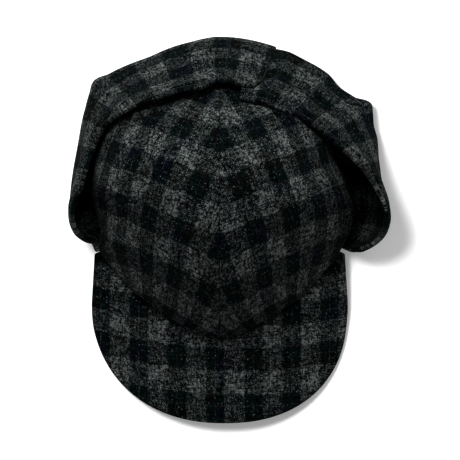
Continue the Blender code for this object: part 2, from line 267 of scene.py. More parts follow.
def linear(text):
    # An sRGB hex colour as linear values.
    parts = [int(text[k:k + 2], 16) / 255.0 for k in (1, 3, 5)]
    return tuple(c / 12.92 if c <= 0.04045 else ((c + 0.055) / 1.055) ** 2.4 for c in parts) + (1.0,)


def fill(node, values):
    # A value is another node's output, one of this node's own settings or an input's value.
    for key, value in values.items():
        if isinstance(value, bpy.types.NodeSocket):
            node.id_data.links.new(value, node.inputs[key])
        elif isinstance(key, str) and hasattr(node, key):
            setattr(node, key, value)
        else:
            node.inputs[key].default_value = value


def add(tree, kind, values=None):
    node = tree.nodes.new(kind)
    fill(node, values or {})
    return node.outputs[0]


def blend(tree, factor, one, other):
    # Two colours.
    mixed = add(tree, "ShaderNodeMix", {"data_type": "RGBA", "Factor": factor, 6: one, 7: other})
    return mixed.node.outputs[2]


def newMaterial(name):
    material = bpy.data.materials.new(name)
    material.use_nodes = True
    return material, material.node_tree, material.node_tree.nodes["Principled BSDF"]


wool = {
    "columnPitch": 27.7,    # mm between dark warp stripes
    "columnDark": 13.4,     # mm of dark warp
    "rowPitch": 36.5,       # mm between dark weft stripes
    "rowDark": 18.0,        # mm of dark weft
    "stripeSoft": 0.8,      # mm over which a stripe's edge blends
    "wander": 1.6,          # mm, how far a stripe wanders
    "fray": 3.0,            # mm, how far its edge frays in the nap
    "halfTone": 0.24,       # how far the nap carries a dark stripe over grey yarns
    "twillPitch": 1.7,      # mm, about twice the real ribs, which are too fine to show
    "ribEdge": (0.17, 0.33),    # of a pitch, where weft gives way to warp
    "ribBlur": 3.0,         # mm
    "pinWidth": 0.8,        # mm, the pale floats in the middle of a dark stripe
    "dotPitch": 4.8,        # mm between floats
    "dotJitter": 9.0,       # mm
    "dotFloor": 0.12,       # what shows of the pale thread between its floats
    "pinStrength": 0.26,
    "speck": 0.66,          # mm, width of the heather's flecks, which are finer in truth
    "speckLength": 2.0,     # mm, along the yarn
    "clump": 2.6,           # mm, the nap gathers in clumps
    "clumpStrength": 0.36,
    "cloudStrength": 0.22,  # wider patches hold more or fewer flecks
    "gapWidth": 1.1,        # mm between the hair lines where yarns part
    "gapLength": 8.0,       # mm
    "gapDepth": 0.82,
    "nepDensity": 0.42,     # cells per mm, of which the rarest hold a nep
    "nepRarity": 0.80,
    "paleShow": (0.10, 0.85),   # how much shows of dots and neps, among dark and pale fibres
    "roughness": (0.98, 0.86),
    "relief": {"rib": 0.35, "fleck": 1.3, "pale": 0.3, "gap": -0.6},
    "light": "#7c8280",
    "darkFleck": "#24383a",
    "nep": "#8f9492",
    "sheen": "#9aa09f",
    # the black yarn's fibres: each patch leans to one of four dyes
    "dyes": ((0.40, "#0a0a18"), (0.46, "#02100f"), (0.54, "#02100f"), (0.60, "#070e09"),
             (0.68, "#0d0b09")),
}
# noise in the wool: waves per mm, detail and roughness
woolNoise = {
    "wander": (0.22, 3.0, 0.5),
    "fray": (0.75, 2.0, 0.7),
    "ribBlur": (0.7, 3.0, 0.5),
    "strand": (1.0, 2.0, 0.68),
    "gap": (1.0, 1.0, 0.5),
    "cloud": (0.12, 4.0, 0.5),
    "clump": (1.0 / wool["clump"], 1.0, 0.5),
    "dye": (0.05, 2.0, 0.5),
    "dotJitter": (0.4, 2.0, 0.5),
}
# and the values between which a feature goes from none to full
woolRange = {
    "gap": (0.58, 0.66),
    "fleck": (0.41, 0.60),
    "darkFleck": (0.48, 0.80),
    "paleFleck": (0.30, 0.62),
    "rough": (0.3, 0.7),
    "nep": (0.10, 0.20),
}


def plaidWool(name, brightness, bumpHeight):
    # Napped wool flannel in a two-way check: heathered grey and near-black yarns cross in a
    # twill, so squares come light, half-toned and black, with pale neps and fuzzy edges.
    material, tree, shader = newMaterial(name)

    def put(kind, values):
        return add(tree, "ShaderNode" + kind, values)

    def calc(operation, *values):
        return put("Math", {"operation": operation, **dict(enumerate(values))})

    def ramp(value, span, start=0.0, end=1.0):
        return put("MapRange", {"interpolation_type": "SMOOTHSTEP", "Value": value, "From Min": span[0],
                                "From Max": span[1], "To Min": start, "To Max": end})

    def noise(key, stretch=None):
        at = inMm
        if stretch:
            at = put("VectorMath", {"operation": "MULTIPLY", 0: inMm, 1: stretch})
        values = dict(zip(("Scale", "Detail", "Roughness"), woolNoise[key]))
        return put("TexNoise", {"noise_dimensions": "2D", "Vector": at, **values})

    def around(value, amount):
        # a noise value as a shift to either side
        return calc("MULTIPLY_ADD", value, amount, -amount / 2.0)

    cloth = put("UVMap", {"uv_map": "cloth"})
    inMm = put("VectorMath", {"operation": "SCALE", 0: cloth, "Scale": 1.0 / mm})
    x, y, _ = put("SeparateXYZ", {0: inMm}).node.outputs
    shift = around(noise("wander"), wool["wander"])
    across, down = calc("ADD", x, shift), calc("SUBTRACT", y, shift)

    # distance from the middle of the nearest dark stripe, each way
    fray = around(noise("fray"), wool["fray"])
    fromColumn = calc("PINGPONG", across, wool["columnPitch"] / 2.0)
    fromRow = calc("PINGPONG", down, wool["rowPitch"] / 2.0)
    stripes = []
    for off, width in ((calc("ADD", fromColumn, fray), wool["columnDark"]),
                       (calc("SUBTRACT", fromRow, fray), wool["rowDark"])):
        edge = (width / 2 - wool["stripeSoft"], width / 2 + wool["stripeSoft"])
        stripes.append(ramp(off, edge, 1.0, 0.0))
    columnDark, rowDark = stripes

    # twill: which yarn lies on top
    blur = calc("MULTIPLY", noise("ribBlur"), wool["ribBlur"])
    rib = calc("ADD", calc("ADD", x, y), blur)
    ribWave = calc("PINGPONG", rib, wool["twillPitch"] / 2.0)
    warpOnTop = ramp(ribWave, [wool["twillPitch"] * share for share in wool["ribEdge"]])
    darkYarn = put("Mix", {"Factor": warpOnTop, 2: rowDark, 3: columnDark})
    eitherDark = calc("MULTIPLY", calc("MAXIMUM", rowDark, columnDark), wool["halfTone"])
    darkYarn = calc("MULTIPLY_ADD", darkYarn, 1.0 - wool["halfTone"], eitherDark)

    # heather: flecks of pale fibre in the grey yarn, a few in the black
    fine, long = 1.0 / wool["speck"], 1.0 / wool["speckLength"]
    warp, weft = noise("strand", (fine, long, 1.0)), noise("strand", (long, fine, 1.0))
    topmost = calc("MULTIPLY_ADD", warpOnTop, 0.5, 0.25)   # the lower yarn shows by a quarter
    flecks = put("Mix", {"Factor": topmost, 2: weft, 3: warp})
    flecks = calc("ADD", flecks, around(noise("clump"), wool["clumpStrength"]))
    cloud = noise("cloud")
    patchy = calc("ADD", flecks, around(cloud, wool["cloudStrength"]))
    fleckAmount = ramp(patchy, woolRange["fleck"])

    # hair-thin dark lines where neighbouring yarns part
    thin, far = 1.0 / wool["gapWidth"], 1.0 / wool["gapLength"]
    lines = [noise("gap", stretch) for stretch in ((thin, far, 1.0), (far, thin, 1.0))]
    yarnGap = calc("MAXIMUM", *(ramp(line, woolRange["gap"]) for line in lines))

    blackDye = put("ValToRGB", {"Fac": noise("dye")})
    stops = blackDye.node.color_ramp.elements
    for k, (position, dye) in enumerate(wool["dyes"]):
        stop = stops[k] if k < 2 else stops.new(position)
        stop.position, stop.color = position, linear(dye)
    greyYarn = blend(tree, fleckAmount, blackDye, linear(wool["light"]))
    blackYarn = blend(tree, ramp(flecks, woolRange["darkFleck"]), blackDye, linear(wool["darkFleck"]))
    yarn = blend(tree, darkYarn, greyYarn, blackYarn)

    # the pale thread in the middle of each dark stripe shows as a row of dots
    half = wool["pinWidth"] / 2.0
    jitter = around(noise("dotJitter"), wool["dotJitter"])
    pins = []
    for fromMiddle, lengthways in ((fromColumn, down), (fromRow, across)):
        dots = calc("PINGPONG", calc("ADD", lengthways, jitter), wool["dotPitch"] / 2.0)
        pins.append(calc("MULTIPLY", ramp(fromMiddle, (half * 0.5, half * 1.5), 1.0, 0.0),
                         ramp(dots, (half, half * 2.0), 1.0, wool["dotFloor"])))
    pins = calc("MULTIPLY", calc("MAXIMUM", *pins), wool["pinStrength"])

    # neps: rare knots of pale fibre
    cells = put("TexVoronoi", {"voronoi_dimensions": "2D", "Vector": inMm, "Scale": wool["nepDensity"]})
    chance = put("SeparateXYZ", {0: cells.node.outputs["Color"]})
    nep = calc("MULTIPLY", ramp(cells, woolRange["nep"], 1.0, 0.0),
               calc("GREATER_THAN", chance, wool["nepRarity"]))
    pale = calc("MAXIMUM", pins, nep)
    paleAmount = calc("MULTIPLY", pale, ramp(flecks, woolRange["paleFleck"], *wool["paleShow"]))
    colour = blend(tree, paleAmount, yarn, linear(wool["nep"]))
    # some patches are a quarter darker or lighter
    tone = calc("MULTIPLY", calc("MULTIPLY_ADD", cloud, 0.5, 0.75), brightness)
    tone = calc("MULTIPLY", tone, calc("MULTIPLY_ADD", yarnGap, -wool["gapDepth"], 1.0))
    shaded = put("VectorMath", {"operation": "SCALE", 0: colour, "Scale": tone})

    height = wool["relief"]
    relief = calc("MULTIPLY", flecks, height["fleck"])
    for value, key in ((warpOnTop, "rib"), (pale, "pale"), (yarnGap, "gap")):
        relief = calc("MULTIPLY_ADD", value, height[key], relief)
    bump = put("Bump", {"Strength": 0.6, "Distance": bumpHeight * mm, "Height": relief})
    rough = ramp(flecks, woolRange["rough"], *wool["roughness"])
    fill(shader, {"Base Color": shaded, "Roughness": rough, "Normal": bump, "IOR": 1.45,
                  "Specular IOR Level": 0.03, "Sheen Weight": 0.01, "Sheen Roughness": 0.5,
                  "Sheen Tint": linear(wool["sheen"])})
    return material


def clothUv(columns, down, rows):
    # Metres on the cloth, from counted columns and a table of the rows.
    table = np.array(rows)
    counted = np.interp(down, table[:, 0], table[:, 1])
    return np.stack((columns * wool["columnPitch"] * mm, counted * wool["rowPitch"] * mm), axis=-1)


def liningCotton(name):
    # Black cotton lining, plain woven: matt, with a faint even grain.
    material, tree, shader = newMaterial(name)
    cloth = add(tree, "ShaderNodeUVMap", {"uv_map": "cloth"})
    weave = add(tree, "ShaderNodeTexChecker", {
        "Vector": cloth, "Scale": 1600.0, "Color1": linear("#15171a"), "Color2": linear("#1d2023")})
    fill(shader, {"Base Color": weave, "Roughness": 0.8, "Specular IOR Level": 0.3})
    return material


def stitchThread(name):
    # Grey polyester sewing thread: round, slightly glossy, twisted.
    material, tree, shader = newMaterial(name)
    where = add(tree, "ShaderNodeTexCoord").node.outputs["Object"]
    twist = add(tree, "ShaderNodeTexNoise", {"Vector": where, "Scale": 900.0, "Detail": 2.0})
    colour = blend(tree, twist, linear("#1b1e1e"), linear("#343939"))
    fill(shader, {"Base Color": colour, "Roughness": 0.55})
    return material


crownWool = plaidWool("crownPlaidWool", brightness=0.70, bumpHeight=0.45)
peakWool = plaidWool("peakPlaidWool", brightness=0.76, bumpHeight=0.40)
flapWool = plaidWool("flapPlaidWool", brightness=0.63, bumpHeight=0.45)
# painted shade: the same wool darkened for the flaps' inner faces, so the pockets behind them read nearly
# black
shadedInnerWool = plaidWool("flapInnerPaintedShadeWool", brightness=0.27, bumpHeight=0.45)
lining = liningCotton("cottonLining")
thread = stitchThread("topstitchThread")
print("materials made")


# Peak

peak = {
    "halfWidth": 0.092,
    "reach": 0.0622,
    "board": 0.0045,
    "fall": 0.010,
    "arch": 0.0245,
    "end": 63.5,
    "tipWidth": 0.0035,
    "seam": 0.0055,           # how far the sewn edge goes in under the crown
    "curveDepth": 1.369,      # reaches from the front back to where the sides are widest
    "groove": 0.0026,         # the seam draws the cloth down along the crown
    "grooveWidth": 0.0021,
    "squareness": 2.25,       # 2 for an oval front, more for fuller corners
    "lean": 0.052,            # the front sits a little to the right
    "rimRound": 0.0022,
    "unevenness": 0.0002,
    "waves": (0.05, 3),       # length and seed
    "columns": (150, 8, 0.0006),
    "rows": (66, 8, 0.0016),
    # where the check's rows cross the peak's middle, and their numbers
    "plaidRows": ((-0.2004, -1), (-0.1534, 0), (-0.1193, 1), (-0.0886, 2), (-0.055, 3)),
    "plaidColumnPitch": 0.0271,
    "plaidColumnStart": -0.0032,
    "plaidTilt": -0.0389,     # how the rows slope from left to right, and bow at the sides
    "plaidBow": 1.18,
}


def peakOutline(steps=96):
    front = hemRadius(0) + peak["reach"]
    middle = front - peak["reach"] * peak["curveDepth"]
    depth = front - middle
    corner = place(1, peak["end"], hemRadius(peak["end"]) + peak["tipWidth"], 0.0)
    power = 2.0 / peak["squareness"]
    half = []
    for step in range(steps + 1):
        turn = math.radians(90.0 * step / steps)
        across, forward = max(math.sin(turn), 0.0) ** power, max(math.cos(turn), 0.0) ** power
        half.append((peak["halfWidth"] * across, -middle - depth * forward))
    half.append(((peak["halfWidth"] + corner[0]) / 2.0, (corner[1] - middle) / 2.0))
    half.append(corner[:2])
    whole = [(-x, y) for x, y in reversed(half[1:])] + half
    back = hemRadius(peak["end"])
    return [(x + peak["lean"] * max(-y - back, 0.0), y) for x, y in whole]


def peakSlope(x, y):
    forward = (-y - hemRadius(0)) / peak["reach"]
    return -peak["fall"] * forward - peak["arch"] * (x / peak["halfWidth"]) ** 2


peakLift = -min(peakSlope(x, y) for x, y in peakOutline(steps=24))


def peakTop(x, y):
    fall = peak["fall"] / peak["reach"]
    across = 2.0 * peak["arch"] * x / peak["halfWidth"] ** 2
    return peakLift + peakSlope(x, y) + peak["board"] * math.sqrt(1.0 + fall * fall + across * across)


def makePeak():
    outline = peakOutline()
    side, out = shares(*peak["columns"]), shares(*peak["rows"])
    edge = along(outline, side * lengthOf(outline))
    points = np.zeros((len(out), len(side), 3))
    rim, fromInner = np.zeros(points.shape[:2]), np.zeros(points.shape[:2])
    for c, share in enumerate(side):
        angle = peak["end"] * (2.0 * share - 1.0)
        hem = hemRadius(abs(angle)) - cap["crownWall"] - peak["seam"]
        inner = np.array(place(math.copysign(1, angle), abs(angle), hem, 0.0)[:2])
        spots = inner + (edge[c] - inner) * out[:, None]
        reach = np.linalg.norm(edge[c] - inner)
        sideways = min(share, 1.0 - share) * lengthOf(outline)
        fromInner[:, c] = out * reach
        for r, (x, y) in enumerate(spots):
            points[r, c] = (x, y, (peakTop(x, y) + peakLift + peakSlope(x, y)) / 2.0)
            rim[r, c] = min(out[r] * reach, (1.0 - out[r]) * reach, sideways)
    rim[[0, -1]] = rim[:, [0, -1]] = 0.0
    fromCrown = fromInner - cap["crownWall"] - peak["seam"]
    points[..., 2] -= peak["groove"] * np.exp(-(fromCrown / peak["grooveWidth"]) ** 2)
    points[..., 2] += peak["unevenness"] * ripple(points, *peak["waves"])
    x, y = points[..., 0], points[..., 1]
    bowed = y - (peak["plaidTilt"] * x + peak["plaidBow"] * x * x)
    columns = (x - peak["plaidColumnStart"]) / peak["plaidColumnPitch"]
    uv = clothUv(columns, bowed, peak["plaidRows"])
    piece = clothShell("peakBoard", points, uv, rim, peak["board"], peak["rimRound"], True, [peakWool],
                       sink=0.0)
    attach(piece, "root")
    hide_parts("peak")


makePeak()
print("peak made")


# Crown

crown = {
    "hemStep": 0.0032,        # the flaps' cloth under the hem
    "hemStepRun": 6.0,        # degrees
    "seamRound": 0.0004,      # how wide the cloth rolls in at the centre seam
    "hemRound": 0.0026,
    "liningFrom": 1.5,        # of either rounding
    "columns": (132, 12, 0.0013),
    "rows": (112, 8, 0.0012),
    "unevenness": 0.0006,
    "waves": (0.06, 11),      # length and seed
    "hemRest": 0.02,          # the unevenness grows over this distance from the hem
    "seamRest": 0.01,         # and over this one from the seam
    "bulgeFrom": 0.02,        # height of the point that the cloth bulges away from
    "seamSwell": 0.0004,      # its allowance lifts the cloth beside the seam
    "seamSwellAt": 0.004,
    "seamSwellWidth": 0.003,
    # The check runs from a pole at the front corner of each half: rows are angles from it,
    # columns are angles round it from the top.
    "poleTurn": 20.8,
    "plaidRows": ((-10, 5.4), (19.4, 4), (46, 3), (69, 2), (89, 1), (109, 0), (129, -1), (169, -3)),
    "plaidColumnStart": -8.5,
    "plaidColumnTurn": 16.6,
    # columns swing this much per degree nearer to the pole, from here on, at most so far
    "plaidSwing": (0.11, 69.0, 40.0),
    # and it lies as it would on this rounder dome, before the cloth is steamed over the full one
    "checkDome": ((0, 0.55), (30, 0.52), (45, 0.46), (61, 0.38), (90, 0.28), (115, 0.35),
                  (132, 0.46), (150, 0.62), (165, 0.70), (180, 0.70)),
}


def domeDrop(share, droop, fullness):
    # How far a dome drops at this share of its radius.
    roundPart = 1.0 - np.maximum(1.0 - share ** fullness, 0.0) ** (1.0 / fullness)
    return droop * share * share + (1.0 - droop) * roundPart


def wallTilt(angle):
    # How much lower the inner face's hem lies than the outer one's, as the wall leans.
    reach = smoothRow(crownSections, angle)[0]
    droop, fullness, upright, _ = crownSection(1, angle)
    nearlyUpright = 0.0001
    rim = max(1.0 - upright ** fullness, nearlyUpright) ** (1.0 - 1.0 / fullness)
    slope = 2.0 * droop * upright ** 2 + (1.0 - droop) * upright ** fullness / rim
    slope *= (cap["height"] - peakLift) / (domeDrop(upright, droop, fullness) * reach * cap["halfLength"])
    return cap["crownWall"] / math.hypot(1.0, slope)


def hemHeight(angle):
    # the rounded hem stands on the peak with the middle of its wall
    at = min(angle, peak["end"])
    x, y, _ = place(1, at, hemRadius(at) - cap["crownWall"] / 2.0, 0.0)
    onPeak = peakTop(x, y) + cap["seatGap"] + wallTilt(at) / 2.0
    if angle <= peak["end"]:
        return onPeak
    return cap["hemGap"] + (onPeak - cap["hemGap"]) * smoothRow(hemLift, angle)[0]


def meridian(side, angle, steps=240):
    # Radius and height from the hem to the top, and the height on the check's own dome.
    droop, fullness, upright, pinch = crownSection(side, angle)
    # behind the peak the hem stands on the sewn edge of the flaps
    hem = hemHeight(angle) + crown["hemStep"] * eased(limited((angle - peak["end"]) / crown["hemStepRun"]))
    full = hemRadius(angle) / upright
    share = np.sin(math.asin(min(upright, 1.0)) * (1.0 - np.linspace(0.0, 1.0, steps + 1)))
    radius = full * share - pinch * (share / upright) ** 4
    heights = []
    for slope, shoulder in ((droop, fullness), (smoothRow(crown["checkDome"], angle)[0], 2.0)):
        scale = (cap["height"] - hem) / domeDrop(upright, slope, shoulder)
        heights.append(cap["height"] - scale * domeDrop(share, slope, shoulder))
    return np.stack((radius, *heights), axis=1)


def crownPlaid(points, side):
    turn = math.radians(crown["poleTurn"])
    pole = np.array((side * math.sin(turn), -math.cos(turn), 0.0))
    outer = np.array((side * math.cos(turn), math.sin(turn), 0.0))
    ray = unit(points)
    fromPole = np.arccos(np.clip(ray @ pole, -1, 1))
    bearing = np.degrees(np.arctan2(ray @ outer, ray[..., 2])) * np.sqrt(np.sin(fromPole))
    fromPole = np.degrees(fromPole)
    rate, start, most = crown["plaidSwing"]
    bearing += rate * np.clip(start - fromPole, 0.0, most)
    columns = (bearing - crown["plaidColumnStart"]) / crown["plaidColumnTurn"]
    return clothUv(side * columns, fromPole, crown["plaidRows"])


def makeCrownHalf(name, side, node):
    angles, up = shares(*crown["columns"]) * 180.0, shares(*crown["rows"])
    points = np.zeros((len(up), len(angles), 3))
    checkHeight, rim = np.zeros(points.shape[:2]), np.zeros(points.shape[:2])
    for c, angle in enumerate(angles):
        path = meridian(side, angle)
        total = lengthOf(path)
        for r, (radius, height, check) in enumerate(along(path, up * total)):
            points[r, c] = place(side, angle, max(radius, 0.0), height)
            checkHeight[r, c] = check
        rim[:, c] = up * total
    # the halves meet at the seam, so nothing shows through it
    fromSeam = np.abs(points[..., 0])
    points[..., 0] = side * fromSeam
    uv = crownPlaid(np.dstack((points[..., :2], checkHeight)), side)
    lift = crown["unevenness"] * ripple(points, *crown["waves"]) * np.clip(rim / crown["hemRest"], 0, 1)
    lift = lift * np.clip(fromSeam / crown["seamRest"], 0, 1)
    fromSwell = (fromSeam - crown["seamSwellAt"]) / crown["seamSwellWidth"]
    lift += crown["seamSwell"] * np.exp(-fromSwell ** 2)
    outward = unit(points - (0.0, 0.0, crown["bulgeFrom"]))
    outward[..., 0] *= np.clip(fromSeam / crown["seamSwellAt"], 0, 1)
    points += outward * lift[..., None]
    # both rims as one distance, each measured in its own rounding
    edge = np.minimum(fromSeam / crown["seamRound"], rim / crown["hemRound"])
    edge[0] = edge[:, [0, -1]] = 0.0
    piece = clothShell(name, points, uv, edge, cap["crownWall"], 1.0, side < 0, [crownWool, lining],
                       crown["liningFrom"], seamed=True)
    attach(piece, "root")
    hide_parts(node)
    return piece


crownLeft = makeCrownHalf("crownLeft", -1, "crown_left")
crownRight = makeCrownHalf("crownRight", 1, "crown_right")
print("crown made")


# Earflaps

flaps = {
    "height": 0.068,
    "wall": 0.003,
    "tuck": 0.002,            # how far the sewn edge goes in under the crown
    "foldRadius": 0.0074,
    "foldLimit": 0.45,        # of the height over the floor, which the radius never exceeds
    "foldRoom": 0.8,          # and of the floor's width
    "leftStart": 63.6,
    "rightStart": 65.0,
    "rightEnd": 168.0,
    "strapLap": 21.5,
    "strapRounding": 0.013,
    "strapStep": 0.0085,      # the strap is narrower than the flap
    "strapStepStart": 168.0,
    "strapStepRun": 10.0,
    "strapTurnIn": 0.001,
    "strapSlope": 0.87,       # height gained along the sloping strap
    "lapRun": 11.0,           # the right flap sinks in over this turn
    "lapMargin": 4.8,         # degrees, and has done so this far in under the strap
    "strapTaper": 0.22,       # the strap's end thins out over a longer run
    "edgeRound": 0.0016,
    "innerFrom": 0.0009,      # the inner face's darkened wool, painted shade, starts this far from the rim
    "rows": (71, 8, 0.0016),
    # fine rows at the free edge and at the stitches, in mm below the edge
    "edgeRows": (0, 0.1, 0.3, 0.6, 1.0, 1.6, 2.3, 3.0, 3.5, 3.9, 4.2, 4.5, 4.9, 5.5, 6.3, 7.2),
    "step": 0.62,             # degrees between columns
    "columnEnds": (8, 0.0009),
    "stitchRow": 10,          # of the edge rows
    "stitchInset": 0.0042,
    "stitchDip": 0.0005,
    "stitchDipWidth": 0.0008,
    "stitchProud": 0.00005,
    "stitchDown": 0.026,      # how far the stitches run down the strap's end
    "stitchUnder": 2.0,       # degrees of the right flap's stitches that the strap hides
    "edgeSeam": 0.0017,       # where the two layers meet, a soft groove beside the edge
    "edgeSeamDip": 0.00025,
    "edgeSeamWidth": 0.0006,
    "rollInset": 0.0085,      # a puffed roll runs below the stitches
    "rollWidth": 0.0036,
    "rollHeight": 0.0011,
    "rollChange": 0.35,       # how it swells and shrinks
    "rollWaves": (0.02, 8),   # length and seed
    "unevenness": 0.0005,
    "waves": 0.045,
    "edgeRest": 0.006,        # the unevenness grows over this distance from the rim
    "plaidStretch": 1.08,
}

# Radii as shares of the hem radius at the fold, a third up, two thirds up and at the edge.
leftFlap = (
    # angle, fold, waist, shoulder, edge, height
    (63.6, 1.024, 1.022, 1.018, 1.014, 0.43),
    (67.8, 1.01, 1.01, 1.007, 1.003, 0.47),
    (69.4, 1.04, 1.042, 1.042, 1.038, 0.56),
    (71.0, 1.06, 1.068, 1.072, 1.068, 0.63),
    (74, 1.082, 1.096, 1.104, 1.1, 0.74),
    (79, 1.088, 1.112, 1.12, 1.11, 0.83),
    (84, 1.09, 1.11, 1.112, 1.09, 0.84),
    (92, 1.092, 1.096, 1.075, 1.025, 0.79),
    (100, 1.097, 1.088, 1.052, 0.992, 0.75),
    (110, 1.113, 1.085, 1.038, 0.968, 0.74),
    (120, 1.148, 1.093, 1.018, 0.938, 0.79),
    (127, 1.2, 1.102, 0.997, 0.892, 0.86),
    (130.8, 1.262, 1.102, 0.975, 0.862, 0.89),
    (137, 1.188, 1.08, 0.945, 0.826, 0.925),
    (146, 1.18, 1.065, 0.918, 0.8, 0.96),
    (155, 1.15, 1.048, 0.898, 0.786, 0.98),
    (167, 1.15, 1.043, 0.888, 0.758, 1.01),
    (180, 1.18, 1.052, 0.888, 0.722, 1.04),
)
rightFlap = (
    (65, 1.072, 1.082, 1.082, 1.077, 0.5),
    (67.5, 1.102, 1.137, 1.142, 1.136, 0.6),
    (71.5, 1.132, 1.19, 1.215, 1.212, 0.7),
    (76, 1.15, 1.222, 1.258, 1.25, 0.8),
    (80, 1.165, 1.236, 1.272, 1.256, 0.86),
    (85, 1.17, 1.229, 1.256, 1.228, 0.9),
    (90, 1.172, 1.213, 1.224, 1.172, 0.91),
    (96, 1.18, 1.198, 1.176, 1.096, 0.91),
    (102, 1.198, 1.198, 1.138, 1.022, 0.91),
    (108, 1.228, 1.19, 1.095, 0.945, 0.92),
    (113, 1.258, 1.16, 1.045, 0.892, 0.935),
    (117, 1.348, 1.145, 1.01, 0.862, 0.945),
    (120.2, 1.47, 1.125, 0.985, 0.84, 0.95),
    (125, 1.246, 1.085, 0.945, 0.802, 0.96),
    (132.5, 1.162, 1.052, 0.905, 0.757, 0.965),
    (138, 1.185, 1.058, 0.898, 0.737, 0.97),
    (148, 1.194, 1.062, 0.893, 0.72, 0.98),
    (160, 1.187, 1.058, 0.89, 0.712, 1.005),
    (170, 1.182, 1.055, 0.888, 0.716, 1.025),
    (180, 1.18, 1.052, 0.888, 0.722, 1.04),
)


def bandRow(side, angle):
    row = smoothRow(leftFlap if side < 0 else rightFlap, angle)
    hem = hemRadius(angle)
    return [share * hem for share in row[:4]] + [row[4] * flaps["height"]]


def wallPath(row, floor, bottom, top, steps=40):
    knots = [(k / 3.0, row[k]) for k in range(4)]
    path = []
    for step in range(steps + 1):
        level = bottom + (top - bottom) * step / steps
        share = (level - floor) / (row[4] - floor)
        path.append((smoothRow(knots, share, freeEnds=True)[0], level))
    return path


def sunk(path, depth):
    # The path moved inward by this depth.
    path = np.array(path)
    run = unit(np.gradient(path, axis=0))
    return path - depth * np.stack((run[:, 1], -run[:, 0]), axis=1)


def foldedPath(row, floor, sewn, depth=0.0, free=0.0, drop=0.0, bends=16):
    # From the hem out along the floor, round the fold and up the wall, and the floor's length.
    room = (row[4] - floor) * flaps["foldLimit"], (row[0] - sewn) * flaps["foldRoom"]
    radius = min(flaps["foldRadius"], *room)
    foot, above = wallPath(row, floor, floor + radius, row[4], steps=10)[:2]
    lean = math.atan2(foot[0] - above[0], above[1] - foot[1])
    wall = wallPath(row, floor, floor + radius * (1.0 + math.sin(lean)), row[4] - drop)
    middle = wall[0][0] - radius * math.cos(lean)
    bend = radius - depth
    start = sewn + free * (middle - flaps["strapTurnIn"] - sewn)
    path = [(start, floor + depth)]
    for step in range(bends):
        turn = (math.pi / 2.0 + lean) * step / bends
        path.append((middle + bend * math.sin(turn), floor + radius - bend * math.cos(turn)))
    return np.concatenate((path, sunk(wall, depth))), middle - start


def flapSection(turn, left):
    # The section at this turn, counted from the front on the flap's own side.
    side = -1 if left and turn <= 180.0 else 1
    angle = min(turn, 360.0 - turn)
    row = bandRow(side, angle)
    floor = max(hemHeight(angle) - cap["hemGap"], 0.0)
    sewn = hemRadius(angle) - flaps["tuck"] - crownSection(side, angle)[3]
    strapEnd = 180.0 + flaps["strapLap"]
    if left:
        rounding = math.degrees(flaps["strapRounding"] / hemRadius(180))
        roundOff = max(1.0 - (strapEnd - turn) / rounding, 0.0)
        drop = flaps["strapRounding"] * (1.0 - math.sqrt(max(1.0 - roundOff * roundOff, 0.0)))
        narrowed = limited((turn - flaps["strapStepStart"]) / flaps["strapStepRun"])
        step = flaps["strapStep"] * eased(narrowed)
        lapStart = 360.0 - flaps["rightEnd"]
        free = max((turn - lapStart) / (strapEnd - lapStart), 0.0)
        path, floorRun = foldedPath(row, floor, sewn, free=free, drop=drop + step)
        return side, angle, path, floorRun, drop
    under = (angle - 180.0 + flaps["strapLap"] - flaps["lapMargin"] + flaps["lapRun"]) / flaps["lapRun"]
    depth = eased(limited(under)) * (flaps["wall"] + cap["seatGap"])
    path, floorRun = foldedPath(row, floor, sewn, depth=depth)
    return side, angle, path, floorRun, 0.0


